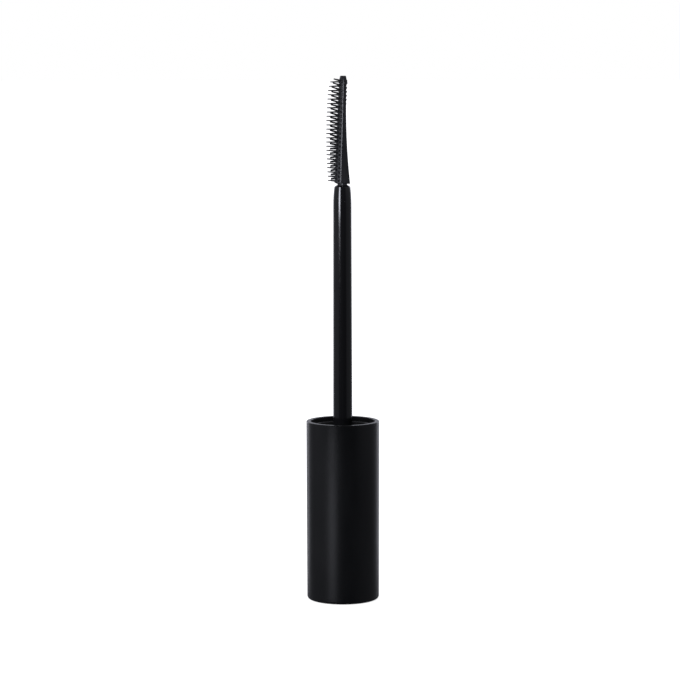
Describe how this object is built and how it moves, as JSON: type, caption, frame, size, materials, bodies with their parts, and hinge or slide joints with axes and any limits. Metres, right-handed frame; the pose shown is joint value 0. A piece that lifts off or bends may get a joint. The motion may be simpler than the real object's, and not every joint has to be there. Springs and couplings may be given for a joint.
{
  "type": "mascara cap with wand",
  "caption": "Closed cylindrical cosmetic cap with a threaded insert, carrying a slender tapering wand that ends in a curved moulded bristle comb.",
  "frame": {"origin": "centre of the cap's flat closed end, on its outer face, which the part stands on", "axes": "+Z along the cap and wand from the closed end to the comb's tip; the bristles point to -X and the comb's smooth back faces +X"},
  "size_m": [0.017, 0.017, 0.1223],
  "materials": {
    "cap_shell": "satin soft-touch black",
    "insert": "black moulded polypropylene",
    "seal": "soft dark elastomer",
    "wand": "smooth semi-gloss black",
    "comb": "black moulded elastomer, satin"
  },
  "bodies": {
    "root": {"outer_cap": "cap_shell", "inner_cap": "insert", "sealing_ring": "seal", "wand_stem": "wand", "comb_brush": "comb"}
  },
  "joints": []
}
